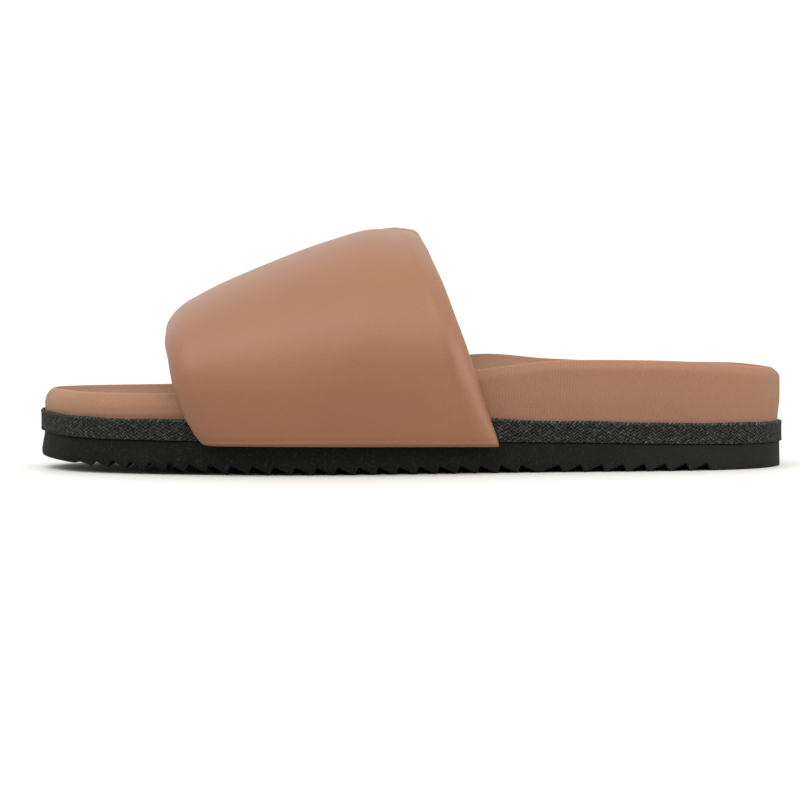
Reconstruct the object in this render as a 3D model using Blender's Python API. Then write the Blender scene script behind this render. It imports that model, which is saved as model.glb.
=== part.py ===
"""Slide sandal for the left foot: ripple outsole, contoured footbed, woven rand tape and a padded strap.

Metres, +Z up. The toe points to -X, the big toe's side is +Y, and the sole stands on Z = 0.
"""
import math
from collections import namedtuple

import bmesh
import bpy
from mathutils import Vector

# Sole
LENGTH = 0.280  # over the tape, toe to heel
BALL_WIDTH = 0.106  # of the footbed, across the ball
OUTSOLE_THICKNESS = 0.0118  # under the ball
OUTSOLE_STEP = 0.0007  # outsole past the footbed's wall
OUTSOLE_FLARE = 0.0002  # extra step at the outsole's foot
OUTSOLE_ROUND = 0.0015  # of the outsole's lower edge
TOE_SPRING = 0.0054  # lift of the outsole at the toe
CLEARANCE = 0.0003  # between pieces that touch

# Ripple lugs, cut right across the outsole
LUG_TURN = 0.1865  # from the toe to the pointed lug between the two rows
LUG_TURN_AHEAD = 0.0062  # from that lug's point to the notch before it
LUG_TURN_BEHIND = 0.0077  # from that lug's point to the notch after it
TOE_ROW_PITCH = 0.00745
HEEL_ROW_PITCH = 0.00781
TOE_BLOCK = 0.013  # smooth stretch at the toe
HEEL_BLOCK = 0.030  # smooth stretch at the heel
LUG_DEPTH = 0.0027
LUG_STEEP = 0.0013  # run of a lug's steep face
LUG_LAND = 0.0007  # flat left on a lug's tip

# Footbed
FOOTBED_HEIGHT = 0.031  # of its wall at the heel, above the outsole
FOOTBED_BULGE = 0.0008  # of the soft wall above the tape
EDGE_RUN = 0.0040  # width of the rounded rim
EDGE_DROP = 0.0038  # height of the rounded rim

# Rand tape
TAPE_HEIGHT = 0.0079
TAPE_THICKNESS = 0.0012
TAPE_ROUND = 0.0003

# Strap
STRAP_REACH = 0.048  # from the toe to the strap's front edge on the instep
STRAP_WIDTH = 0.0955  # of the strap along the instep's crest
STRAP_THICKNESS = 0.012
STRAP_ROLL = 0.009  # run of the rolled edges
STRAP_HANG = 0.0012  # of the strap below the footbed's seat
STRAP_OFF_TAPE = 0.0004
INSTEP_HEIGHT = 0.0915  # floor to the top of the strap
CREST_SHIFT = 0.006  # of the instep's crest, towards the big toe's side
RIM_FREE = 0.0015  # of the strap's straight side above the footbed's rim
ARCH_POWER = 2.2  # 2 is an ellipse, more is squarer
MARGIN_THICKNESS = 0.0009
MARGIN_TUCK = 0.010  # under the footbed
MARGIN_ROOT = 0.0014  # into the strap's wall

# Faceting
RING_HALF = 44  # steps from toe to heel along one side
CURVE_STEPS = 24
ROLL_STEPS = 5
BAND_STEPS = 8
STRIP_STEPS = 14

LATERAL = -1
MEDIAL = 1

Outline = namedtuple("Outline", "along across")
# Footbed seen from above, as shares of its length and of the ball's width, from the toe round by the big toe
OUTLINE = (
    Outline(0.000, 0.10),
    Outline(0.020, 0.25),
    Outline(0.085, 0.395),
    Outline(0.200, 0.475),
    Outline(0.320, 0.495),
    Outline(0.450, 0.435),
    Outline(0.600, 0.350),
    Outline(0.750, 0.340),
    Outline(0.880, 0.325),
    Outline(0.967, 0.205),
    Outline(1.000, 0.00),
    Outline(0.967, -0.215),
    Outline(0.880, -0.340),
    Outline(0.750, -0.385),
    Outline(0.600, -0.425),
    Outline(0.420, -0.500),
    Outline(0.280, -0.485),
    Outline(0.150, -0.405),
    Outline(0.060, -0.265),
    Outline(0.014, -0.080),
)

Seat = namedtuple("Seat", "along thickness step")
# Top of the outsole, as shares of OUTSOLE_THICKNESS, and its step past the footbed as a share of OUTSOLE_STEP
SEAT = (
    Seat(0.00, 1.19, 0.10),
    Seat(0.06, 1.08, 0.45),
    Seat(0.17, 1.04, 1.00),
    Seat(0.40, 1.00, 1.00),
    Seat(0.63, 0.93, 1.00),
    Seat(0.80, 0.85, 1.00),
    Seat(0.92, 0.78, 1.00),
    Seat(1.00, 0.76, 1.00),
)

Tread = namedtuple("Tread", "along lift")
# Underside of the outsole over the floor, as shares of TOE_SPRING
TREAD = (
    Tread(0.00, 0.90),
    Tread(0.02, 0.80),
    Tread(0.06, 0.60),
    Tread(0.10, 0.42),
    Tread(0.16, 0.28),
    Tread(0.23, 0.19),
    Tread(0.30, 0.09),
    Tread(0.37, 0.01),
    Tread(0.44, 0.00),
    Tread(1.00, 0.00),
)

Bed = namedtuple("Bed", "along lateral medial floor run drop bulge")
# Rims and floor of the footbed above the seat as shares of FOOTBED_HEIGHT, the rounded rim's width and height as
# shares of EDGE_RUN and EDGE_DROP, and the wall's bulge as a share of FOOTBED_BULGE
BED = (
    Bed(0.00, 0.470, 0.470, 0.41, 1.25, 1.60, 0.0),
    Bed(0.06, 0.535, 0.545, 0.43, 1.25, 1.70, 0.2),
    Bed(0.18, 0.540, 0.550, 0.43, 1.20, 1.25, 0.7),
    Bed(0.35, 0.600, 0.630, 0.43, 1.00, 1.00, 1.0),
    Bed(0.50, 0.735, 0.820, 0.53, 1.00, 1.00, 1.0),
    Bed(0.60, 0.860, 0.965, 0.63, 1.00, 1.00, 1.0),
    Bed(0.69, 0.960, 0.920, 0.675, 1.00, 1.00, 1.0),
    Bed(0.80, 0.982, 0.900, 0.675, 1.00, 1.00, 1.0),
    Bed(0.90, 0.974, 0.915, 0.69, 0.90, 1.00, 1.0),
    Bed(0.955, 0.945, 0.925, 0.70, 0.80, 1.00, 1.0),
    Bed(1.00, 0.890, 0.890, 0.70, 0.80, 1.00, 1.0),
)

Instep = namedtuple("Instep", "along height")
# Line of the strap over the crest: shares of STRAP_WIDTH from its front edge, and of INSTEP_HEIGHT
INSTEP = (
    Instep(0.00, 0.640),
    Instep(0.12, 0.712),
    Instep(0.24, 0.775),
    Instep(0.52, 0.892),
    Instep(0.68, 0.945),
    Instep(0.80, 0.975),
    Instep(0.90, 0.990),
    Instep(1.00, 0.990),
    Instep(1.32, 1.005),
)

Band = namedtuple("Band", "rise front rear wall")
# Strap from its foot (0) to the crest (1): how far each edge lies behind its place on the crest, as shares of
# STRAP_WIDTH, and the wall as a share of STRAP_THICKNESS
BAND = (
    Band(0.00, 0.175, 0.302, 0.30),
    Band(0.02, 0.162, 0.296, 0.50),
    Band(0.05, 0.142, 0.286, 0.64),
    Band(0.13, 0.103, 0.256, 0.80),
    Band(0.22, 0.077, 0.231, 0.92),
    Band(0.33, 0.052, 0.193, 1.00),
    Band(0.46, 0.030, 0.134, 1.00),
    Band(0.66, 0.017, 0.050, 1.00),
    Band(0.83, 0.006, 0.010, 1.00),
    Band(1.00, 0.000, 0.000, 1.00),
)
# Places of the strap's sections from its foot to the crest
RISES = (0.0, 0.012, 0.03, 0.055, 0.09, 0.135, 0.19, 0.25, 0.31, 0.37, 0.43, 0.49, 0.55, 0.61, 0.67, 0.73,
         0.79, 0.85, 0.91, 0.96, 1.0)

# Spine that the flat rings close on, as a share of each ring point's own place along the shoe
SPINE_REACH = 0.78
FLAT_RINGS = (0.75, 0.42, 0.10)
BED_RINGS = (0.93, 0.85, 0.75, 0.63, 0.48, 0.30, 0.10)
BED_SPREAD = 1.5  # more is a flatter floor and a steeper side

TAN_STRAP = (0.48, 0.27, 0.165, 1.0)
TAN_FOOTBED = (0.31, 0.18, 0.115, 1.0)
GREY_TAPE = (0.045, 0.047, 0.049, 1.0)
BLACK_SOLE = (0.014, 0.014, 0.015, 1.0)

TAPE_PROUD = TAPE_THICKNESS + CLEARANCE
STRAP_INSIDE = TAPE_PROUD + STRAP_OFF_TAPE
FOOTBED_LENGTH = LENGTH - 2 * TAPE_PROUD
TOE_X = -FOOTBED_LENGTH / 2


def read(table, column, at):
    """Smooth value of a table's column at a place in its first column."""
    first, last = table[0], table[-1]
    if at <= first[0]:
        return getattr(first, column)
    if at >= last[0]:
        return getattr(last, column)
    k = max(i for i in range(len(table) - 1) if table[i][0] <= at)

    def slope(i):
        low, high = table[max(i - 1, 0)], table[min(i + 1, len(table) - 1)]
        return (getattr(high, column) - getattr(low, column)) / (high[0] - low[0])

    span = table[k + 1][0] - table[k][0]
    t = (at - table[k][0]) / span
    start, end = getattr(table[k], column), getattr(table[k + 1], column)
    bend = slope(k) * span * (t**3 - 2 * t**2 + t) + slope(k + 1) * span * (t**3 - t**2)
    return start * (2 * t**3 - 3 * t**2 + 1) + end * (3 * t**2 - 2 * t**3) + bend


def closed_curve(points):
    """Smooth closed line through the points."""
    line = []
    count = len(points)
    for i in range(count):
        before, here, after, beyond = (points[(i + k) % count] for k in (-1, 0, 1, 2))
        reach = (after - here).length
        leave = (after - before) * (reach / (reach + (here - before).length))
        arrive = (beyond - here) * (reach / (reach + (beyond - after).length))
        for k in range(CURVE_STEPS):
            t = k / CURVE_STEPS
            line.append(here * (2 * t**3 - 3 * t**2 + 1) + leave * (t**3 - 2 * t**2 + t)
                        + after * (3 * t**2 - 2 * t**3) + arrive * (t**3 - t**2))
    return line


def even_steps(line, count):
    """The line's start and the points that cut it into equal steps, without its end."""
    lengths = [0.0]
    for here, after in zip(line, line[1:]):
        lengths.append(lengths[-1] + (after - here).length)
    points = []
    k = 0
    for step in range(count):
        goal = lengths[-1] * step / count
        while lengths[k + 1] < goal:
            k += 1
        points.append(line[k].lerp(line[k + 1], (goal - lengths[k]) / (lengths[k + 1] - lengths[k])))
    return points


def footbed_outline():
    """Points of the footbed's outline, toe, big toe's side, heel and back, each with its outward normal."""
    nodes = [Vector((TOE_X + row.along * FOOTBED_LENGTH, row.across * BALL_WIDTH)) for row in OUTLINE]
    line = closed_curve(nodes)
    heel = CURVE_STEPS * max(range(len(OUTLINE)), key=lambda i: OUTLINE[i].along)
    points = even_steps(line[:heel + 1], RING_HALF) + even_steps(line[heel:] + line[:1], RING_HALF)
    count = len(points)
    normals = []
    for i in range(count):
        run = points[(i + 1) % count] - points[i - 1]
        normals.append(Vector((-run.y, run.x)).normalized())
    return points, normals


POINTS, NORMALS = footbed_outline()
COUNT = len(POINTS)


def grown(step):
    """The footbed's outline moved outwards by a step, one for all points or one for each."""
    steps = step if isinstance(step, list) else [step] * COUNT
    return [point + normal * wide for point, normal, wide in zip(POINTS, NORMALS, steps)]


def share(x):
    """Share of the footbed's length at a place along the shoe."""
    return min(1.0, max(0.0, (x - TOE_X) / FOOTBED_LENGTH))


def seat(x):
    """Height of the outsole's top."""
    return OUTSOLE_THICKNESS * read(SEAT, "thickness", share(x))


def ground(x):
    """Height of the outsole's underside, without its notches."""
    return TOE_SPRING * max(0.0, read(TREAD, "lift", share(x)))


def side_name(i):
    """Name of the side on which an outline point lies."""
    return "medial" if i < RING_HALF else "lateral"


def rim(x, side):
    """Height of the footbed's rim on one side."""
    return seat(x) + CLEARANCE + FOOTBED_HEIGHT * read(BED, side, share(x))


def edge_line(step, side):
    """One side of the grown outline, from toe to heel."""
    ring = grown(step)
    if side == MEDIAL:
        return ring[:RING_HALF + 1]
    return ring[:1] + ring[:RING_HALF - 1:-1]


def across(line, x):
    """Place across the shoe of a side line, at a place along it."""
    for here, after in zip(line, line[1:]):
        if after.x >= x:
            return here.lerp(after, (x - here.x) / (after.x - here.x)).y
    return line[-1].y


def towards_spine(ring, part):
    """The flat ring drawn in towards the footbed's middle line."""
    count = len(ring)
    points = []
    for i, point in enumerate(ring):
        middle = (point + ring[-i % count]) / 2
        spine = Vector((middle.x * SPINE_REACH, middle.y))
        points.append(spine.lerp(point, part))
    return points


def lofted(name, rings):
    """Closed body from rings of equal count, each end closed across its middle line."""
    form = bmesh.new()
    loops = [[form.verts.new(point) for point in ring] for ring in rings]
    count = len(loops[0])
    for low, high in zip(loops, loops[1:]):
        for i in range(count):
            j = (i + 1) % count
            form.faces.new((low[i], low[j], high[j], high[i]))
    for loop in (loops[0], loops[-1]):
        for i in range(count // 2):
            corners = (loop[i], loop[i + 1], loop[-i - 1], loop[-i % count])
            form.faces.new(dict.fromkeys(corners))
    bmesh.ops.recalc_face_normals(form, faces=form.faces)
    mesh = bpy.data.meshes.new(name)
    form.to_mesh(mesh)
    form.free()
    return bpy.data.objects.new(name, mesh)


def at_heights(ring, height):
    """Flat points lifted to a height that depends on the place along the shoe."""
    return [Vector((point.x, point.y, height(point.x))) for point in ring]


def outsole_block():
    """The outsole before its notches are cut."""
    top = grown([OUTSOLE_STEP * read(SEAT, "step", share(point.x)) for point in POINTS])
    foot = grown(OUTSOLE_STEP + OUTSOLE_FLARE)
    slope = math.sqrt(0.5)
    corner = grown(OUTSOLE_STEP + OUTSOLE_FLARE - OUTSOLE_ROUND * (1 - slope))
    under = grown(OUTSOLE_STEP + OUTSOLE_FLARE - OUTSOLE_ROUND)
    rings = [at_heights(towards_spine(top, part), seat) for part in reversed(FLAT_RINGS)]
    rings.append(at_heights(top, seat))
    rings.append(at_heights(foot, lambda x: ground(x) + OUTSOLE_ROUND))
    rings.append(at_heights(corner, lambda x: ground(x) + OUTSOLE_ROUND * (1 - slope)))
    rings.append(at_heights(under, ground))
    rings += [at_heights(towards_spine(under, part), ground) for part in FLAT_RINGS]
    return lofted("outsole", rings)


def notch(x, ahead, behind, depth):
    """Profile of one notch, from its opening's front corner over its top to its rear corner."""
    low = -LUG_DEPTH
    skin = CLEARANCE / 10
    return [
        (x - ahead, low),
        (x - ahead, ground(x - ahead) - skin),
        (x, ground(x) + depth),
        (x + behind, ground(x + behind) - skin),
        (x + behind, low),
    ]


def notch_profiles():
    """Profiles of all the notches: a row that leans to the toe, then one that leans to the heel."""
    start = -LENGTH / 2
    turn = start + LUG_TURN
    profiles = []
    x = turn - LUG_TURN_AHEAD
    behind = LUG_TURN_AHEAD - LUG_LAND / 2
    while x > start + TOE_BLOCK:
        depth = LUG_DEPTH * min(1.0, 0.2 + (x - start - TOE_BLOCK) / (6 * TOE_ROW_PITCH))
        profiles.append(notch(x, LUG_STEEP, behind, depth))
        x -= TOE_ROW_PITCH
        behind = TOE_ROW_PITCH - LUG_STEEP - LUG_LAND
    x = turn + LUG_TURN_BEHIND
    ahead = LUG_TURN_BEHIND - LUG_LAND / 2
    while x < -start - HEEL_BLOCK:
        profiles.append(notch(x, ahead, LUG_STEEP, LUG_DEPTH))
        x += HEEL_ROW_PITCH
        ahead = HEEL_ROW_PITCH - LUG_STEEP - LUG_LAND
    return profiles


def notch_cutter():
    """All the notches as bars right across the outsole."""
    form = bmesh.new()
    for profile in notch_profiles():
        face = form.faces.new([form.verts.new((x, -BALL_WIDTH, z)) for x, z in profile])
        bars = bmesh.ops.extrude_face_region(form, geom=[face])
        moved = [item for item in bars["geom"] if isinstance(item, bmesh.types.BMVert)]
        bmesh.ops.translate(form, verts=moved, vec=(0, 2 * BALL_WIDTH, 0))
    bmesh.ops.recalc_face_normals(form, faces=form.faces)
    mesh = bpy.data.meshes.new("notches")
    form.to_mesh(mesh)
    form.free()
    return bpy.data.objects.new("notches", mesh)


def side_strip(name, side, inner, outer, low, high, spare):
    """Flat strip along the strap's foot, between two steps from the footbed's outline and two heights."""
    front, rear = (x + spare * way for x, way in zip(margin_span(), (-1, 1)))
    near, far = edge_line(inner, side), edge_line(outer, side)
    rings = []
    for k in range(STRIP_STEPS + 1):
        x = front + (rear - front) * k / STRIP_STEPS
        y_near, y_far = across(near, x), across(far, x)
        bottom, top = seat(x) + low, seat(x) + high
        rings.append([Vector((x, y_near, bottom)), Vector((x, y_near, top)),
                      Vector((x, y_far, top)), Vector((x, y_far, bottom))])
    return lofted(name, rings)


def margin_span():
    """Front and rear end of the strap's lasting margin."""
    return edge_x("front", 0.0) + STRAP_ROLL, edge_x("rear", 0.0) - STRAP_ROLL


def outsole(cutters):
    """The outsole, notched across and let in for the strap's margins."""
    block = outsole_block()
    cut(block, notch_cutter(), cutters)
    for side, label in ((LATERAL, "lateral"), (MEDIAL, "medial")):
        pocket = side_strip("pocket_" + label, side, -MARGIN_TUCK - CLEARANCE, STRAP_INSIDE + MARGIN_ROOT,
                            -MARGIN_THICKNESS - CLEARANCE, OUTSOLE_THICKNESS, CLEARANCE)
        cut(block, pocket, cutters)
    return block


def footbed():
    """The footbed: straight wall behind the tape, soft wall above it, rounded rim and dished floor."""
    shares = [share(point.x) for point in POINTS]
    bulge = [FOOTBED_BULGE * read(BED, "bulge", at) for at in shares]
    run = [EDGE_RUN * read(BED, "run", at) for at in shares]
    drop = [EDGE_DROP * read(BED, "drop", at) for at in shares]
    rims = [rim(point.x, side_name(i)) for i, point in enumerate(POINTS)]
    base = [seat(point.x) + CLEARANCE for point in POINTS]

    def wall(step, heights):
        return [Vector((point.x, point.y, z)) for point, z in zip(grown(step), heights)]

    flat = grown(0.0)
    rings = [at_heights(towards_spine(flat, part), lambda x: seat(x) + CLEARANCE)
             for part in reversed(FLAT_RINGS)]
    rings.append(wall(0.0, base))
    tape_top = [z + TAPE_HEIGHT for z in base]
    shoulder = [z - low for z, low in zip(rims, drop)]
    rings.append(wall(0.0, tape_top))
    rings.append(wall([wide * 0.8 for wide in bulge], [z + (s - z) * 0.3 for z, s in zip(tape_top, shoulder)]))
    rings.append(wall(bulge, [z + (s - z) * 0.7 for z, s in zip(tape_top, shoulder)]))
    for k in range(ROLL_STEPS):
        angle = math.pi / 2 * k / (ROLL_STEPS - 1)
        steps = [wide - deep * (1 - math.cos(angle)) for wide, deep in zip(bulge, run)]
        rings.append(wall(steps, [z - low * (1 - math.sin(angle)) for z, low in zip(rims, drop)]))
    crest = grown([wide - deep for wide, deep in zip(bulge, run)])
    for part in BED_RINGS:
        slide = part**BED_SPREAD
        rise = slide * slide * (3 - 2 * slide)
        inner = towards_spine(crest, part)
        floors = [seat(p.x) + CLEARANCE + FOOTBED_HEIGHT * read(BED, "floor", share(p.x)) for p in inner]
        rings.append([Vector((p.x, p.y, low + (high - low) * rise)) for p, low, high in zip(inner, floors, rims)])
    return lofted("footbed", rings)


def rand_tape():
    """The tape around the footbed's wall, a closed band with softened edges."""
    base = [seat(point.x) + CLEARANCE for point in POINTS]
    section = (
        (CLEARANCE, 0.0),
        (TAPE_PROUD - TAPE_ROUND, 0.0),
        (TAPE_PROUD, TAPE_ROUND),
        (TAPE_PROUD, TAPE_HEIGHT - TAPE_ROUND),
        (TAPE_PROUD - TAPE_ROUND, TAPE_HEIGHT),
        (CLEARANCE, TAPE_HEIGHT),
    )
    form = bmesh.new()
    loops = []
    for step, rise in section:
        ring = [Vector((point.x, point.y, z + rise)) for point, z in zip(grown(step), base)]
        loops.append([form.verts.new(point) for point in ring])
    for low, high in zip(loops, loops[1:] + loops[:1]):
        for i in range(COUNT):
            j = (i + 1) % COUNT
            form.faces.new((low[i], low[j], high[j], high[i]))
    bmesh.ops.recalc_face_normals(form, faces=form.faces)
    mesh = bpy.data.meshes.new("rand_tape")
    form.to_mesh(mesh)
    form.free()
    return bpy.data.objects.new("rand_tape", mesh)


def edge_x(edge, rise):
    """Place along the shoe of the strap's front or rear edge, at a share of the way to the crest."""
    crest = -LENGTH / 2 + STRAP_REACH + (STRAP_WIDTH if edge == "rear" else 0.0)
    return crest + STRAP_WIDTH * read(BAND, edge, rise)


def inner_arch(x, side, line):
    """Strap's inside on one side of the foot, at a place along the shoe, from its foot up to the crest."""
    foot_y = across(line, x)
    label = "medial" if side == MEDIAL else "lateral"
    straight = rim(x, label) + RIM_FREE
    along = (x + LENGTH / 2 - STRAP_REACH) / STRAP_WIDTH
    crest = INSTEP_HEIGHT * read(INSTEP, "height", along) - STRAP_THICKNESS
    path = [Vector((foot_y, seat(x) - STRAP_HANG))]
    for k in range(CURVE_STEPS + 1):
        angle = math.pi / 2 * k / CURVE_STEPS
        out = math.cos(angle)**(2 / ARCH_POWER) if k < CURVE_STEPS else 0.0
        up = math.sin(angle)**(2 / ARCH_POWER)
        path.append(Vector((CREST_SHIFT + (foot_y - CREST_SHIFT) * out, straight + (crest - straight) * up)))
    return path


def on_arch(path, rise, side):
    """Point and outward normal on the strap's inside at a share of the way from its foot to the crest."""
    lengths = [0.0]
    for here, after in zip(path, path[1:]):
        lengths.append(lengths[-1] + (after - here).length)
    goal = lengths[-1] * rise
    k = 0
    while k < len(path) - 2 and lengths[k + 1] < goal:
        k += 1
    part = (goal - lengths[k]) / (lengths[k + 1] - lengths[k])
    leave = path[k + 1] - path[max(k - 1, 0)]
    arrive = path[min(k + 2, len(path) - 1)] - path[k]
    run = leave.normalized().lerp(arrive.normalized(), part)
    if rise >= 1.0:
        run = Vector((-side, 0.0))
    return path[k].lerp(path[k + 1], part), Vector((run.y, -run.x)).normalized() * side


def strap_section(rise, side, line):
    """One closed section round the strap's wall: outer face, rear roll, inner face, front roll."""
    front, rear = edge_x("front", rise), edge_x("rear", rise)
    stops = [(front, 0.0)]
    for k in range(1, ROLL_STEPS + 1):
        angle = math.pi / 2 * k / ROLL_STEPS
        stops.append((front + STRAP_ROLL * (1 - math.cos(angle)), math.sin(angle)))
    for k in range(1, BAND_STEPS):
        part = k / BAND_STEPS
        stops.append((front + STRAP_ROLL + (rear - front - 2 * STRAP_ROLL) * part, 1.0))
    stops += [(front + rear - x, full) for x, full in reversed(stops[:ROLL_STEPS + 1])]
    wall = STRAP_THICKNESS * read(BAND, "wall", rise)
    outer, inner = [], []
    for x, full in stops:
        point, normal = on_arch(inner_arch(x, side, line), rise, side)
        outside = point + normal * (wall * (1 + full) / 2)
        outer.append(Vector((x, outside.x, outside.y)))
        inside = point + normal * (wall * (1 - full) / 2)
        inner.append(Vector((x, inside.x, inside.y)))
    return outer + inner[-2:0:-1]


def strap(cutters):
    """The padded band over the instep, with its lasting margins."""
    rings = []
    for side in (LATERAL, MEDIAL):
        line = edge_line(STRAP_INSIDE, side)
        half = [strap_section(rise, side, line) for rise in RISES]
        rings += half if side == LATERAL else half[-2::-1]
    band = lofted("strap", rings)
    for side, label in ((LATERAL, "lateral"), (MEDIAL, "medial")):
        margin = side_strip("margin_" + label, side, -MARGIN_TUCK, STRAP_INSIDE + MARGIN_ROOT,
                            -MARGIN_THICKNESS, 0.0, 0.0)
        cut(band, margin, cutters, "UNION")
    return band


def cut(body, tool, cutters, operation="DIFFERENCE"):
    """Cuts a body with a tool, or joins the tool to it."""
    cutters.objects.link(tool)
    tool.hide_render = True
    tool.display_type = "WIRE"
    step = body.modifiers.new(tool.name, "BOOLEAN")
    step.operation = operation
    step.solver = "EXACT"
    step.object = tool


def finish(body, colour, roughness):
    """Material and smooth shading of one piece."""
    material = bpy.data.materials.new(body.name)
    material.use_nodes = True
    shader = material.node_tree.nodes["Principled BSDF"]
    shader.inputs["Base Color"].default_value = colour
    shader.inputs["Roughness"].default_value = roughness
    shader.inputs["Metallic"].default_value = 0.0
    body.data.materials.append(material)
    body.data.shade_smooth()
    body.data.set_sharp_from_angle(angle=math.radians(35))


def stand_centred(bodies, cutters):
    """Moves everything so that the shoe's box is centred on Z's axis; the sole is on Z = 0 already."""
    corners = [corner for body in bodies for corner in body.bound_box]
    middle = [(min(c[axis] for c in corners) + max(c[axis] for c in corners)) / 2 for axis in (0, 1)]
    for thing in bodies + list(cutters.objects):
        thing.location = (-middle[0], -middle[1], 0.0)


def main():
    for thing in list(bpy.data.objects):
        bpy.data.objects.remove(thing)
    shoe = bpy.data.collections.new("slide_sandal")
    cutters = bpy.data.collections.new("cutters")
    bpy.context.scene.collection.children.link(shoe)
    bpy.context.scene.collection.children.link(cutters)
    pieces = (
        (outsole(cutters), BLACK_SOLE, 0.6),
        (footbed(), TAN_FOOTBED, 0.85),
        (rand_tape(), GREY_TAPE, 0.85),
        (strap(cutters), TAN_STRAP, 0.5),
    )
    for body, colour, roughness in pieces:
        shoe.objects.link(body)
        finish(body, colour, roughness)
    stand_centred([body for body, _, _ in pieces], cutters)


main()
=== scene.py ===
"""Looks of the slide sandal: padded strap, covered footbed, woven tape and ripple outsole.

Metres, +Z up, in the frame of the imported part: the toe points to -X and the big toe's side is +Y.
"""
import math
from collections import namedtuple

import bpy
import numpy as np
from bpy.props import FloatProperty, FloatVectorProperty, PointerProperty
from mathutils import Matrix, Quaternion, Vector


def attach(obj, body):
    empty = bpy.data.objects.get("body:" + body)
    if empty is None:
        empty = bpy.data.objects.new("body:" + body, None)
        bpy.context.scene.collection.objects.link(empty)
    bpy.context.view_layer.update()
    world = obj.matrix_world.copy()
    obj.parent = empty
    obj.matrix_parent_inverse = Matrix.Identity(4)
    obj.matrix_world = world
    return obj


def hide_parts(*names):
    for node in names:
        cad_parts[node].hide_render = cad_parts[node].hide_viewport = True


bl_info = {
    "name": "Slide Sandal",
    "version": (1, 0, 0),
    "blender": (4, 5, 0),
    "location": "View3D > Sidebar > Sandal",
    "description": "Builds a padded slide sandal with its ripple sole",
    "category": "Object",
}

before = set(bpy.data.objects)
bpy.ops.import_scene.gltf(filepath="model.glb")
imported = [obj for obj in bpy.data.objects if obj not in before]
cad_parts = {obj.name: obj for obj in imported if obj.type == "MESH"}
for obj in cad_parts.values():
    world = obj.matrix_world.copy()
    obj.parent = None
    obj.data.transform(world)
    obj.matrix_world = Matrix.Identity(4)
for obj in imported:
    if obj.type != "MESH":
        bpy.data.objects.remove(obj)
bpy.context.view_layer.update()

LATERAL = -1
MEDIAL = 1

# Outsole
TIP_BLEND = 0.03  # run over which the steps at toe and heel fade
TOE_EDGE_END = 0.12  # share of the length up to which the toe's side edge is rounder
TOE_EDGE_FADE = 0.22  # share of the length over which that fades

# Footbed
RIM_SLOPE = 0.75  # 0 is a round rim, 1 is a wall that leans in more and more up to a tight crest
RIM_BEND = 2.4  # how late the wall leans in
ROUND_TOE = 0.10  # share of the length over which the toe's round rim turns into the tight one
UNDER_RINGS = (0.12, 0.5, 0.9)  # shares of the way out from the middle line
WALL_RINGS = (0.0, 0.5, 0.94)  # behind the tape
BED_RINGS = np.concatenate([1 - 0.30 * np.linspace(0.1, 1, 26)**1.7, np.linspace(0.66, 0.04, 15)])
BULGE_PACE = 1.4  # how soon the soft wall above the tape is at its widest
DISH_POWER = 1.5  # more is a flatter floor and a steeper side
RIDGE_REACH = 0.0009  # half width of the fine ridges on the rim
HOLLOW_RUN = 0.0017  # from the rim's crest down into the hollow
HOLLOW_FADE = 0.6  # how much of the hollow fades towards the floor
HOLLOW_FADE_FROM = 0.004
HOLLOW_FADE_RUN = 0.016
NO_FOLD = -1.0  # marks points off the rim

# Tape
TAPE_ROUND = 0.0005  # radius of the outer edges
TAPE_BACK = 0.0002  # how far the back falls short of the edges
TAPE_WELT = 0.00012  # how much thicker the edges are
TAPE_BUMP = 0.0011  # how far its top rises at the strap's rear foot
TAPE_BUMP_AT = 0.029
TAPE_BUMP_REACH = 0.009
TAPE_WELD = 0.00002  # joins points closer than this
ROW_PITCH = 0.00122  # of the weave
BRAID_PITCH = 0.0015  # of the border
BORDER_START = 0.0012  # below the tape's top
BORDER_FULL = 0.0008

# Strap
FOOT_SHARE = 0.02  # share of the way to the crest in which the strap's foot is rounded
FOOT_REAR = 0.25  # rear corner's radius as a share of the front one's
FOOT_THIN = 0.34  # how much thinner the wall is there
ROLL_TIGHT = 0.6  # how much tighter the rear roll is at the crest
ROLL_TIGHT_FROM = 0.72  # share of the way to the crest
ROLL_TIGHT_RUN = 0.22
FACE_STEPS = 50
LIP_RAMP = 0.0090  # run over which the rear lip rises
LIP_START = 0.006  # share of the way back from the crest
LIP_RUN = 0.09
LIP_FULL = 0.10  # from where it fades
LIP_REACH = 0.32
CREST_DENT = 0.00030  # dip of the rear edge by the crest
CREST_DENT_AT = 0.010
CREST_DENT_REACH = 0.018
HEM_DENT = 0.00010  # dip just above the foot's edge
HEM_RUN = 0.004
HEM_REACH = 0.022

# Stage
HORIZON = 1.03  # brightness of the studio at the horizon
ZENITH_GAIN = 0.7  # how much brighter the studio is overhead
FLOOR_REACH = 6.0
AIM = Vector((0, 0, 0.04))  # where the lights point

Window = namedtuple("Window", "start start_run end end_run")
# Shares of the way from the strap's foot to the crest
HUG = Window(0.11, 0.04, 0.20, 0.12)  # padding that swells inwards, above the tape
RIDGED = Window(0.12, 0.15, 0.86, 0.10)  # soft ridges along the strap's edges

Ridge = namedtuple("Ridge", "inside reach height")
# Ridges and troughs of the strap's face: how far inside the edge, half width, height as a share of edge_ridge
REAR_RIDGES = (Ridge(0.0068, 0.0016, 1.0), Ridge(0.0100, 0.0024, -1.1))
FRONT_RIDGES = (Ridge(0.0105, 0.0030, -0.8),)

Outline = namedtuple("Outline", "along across")
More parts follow.
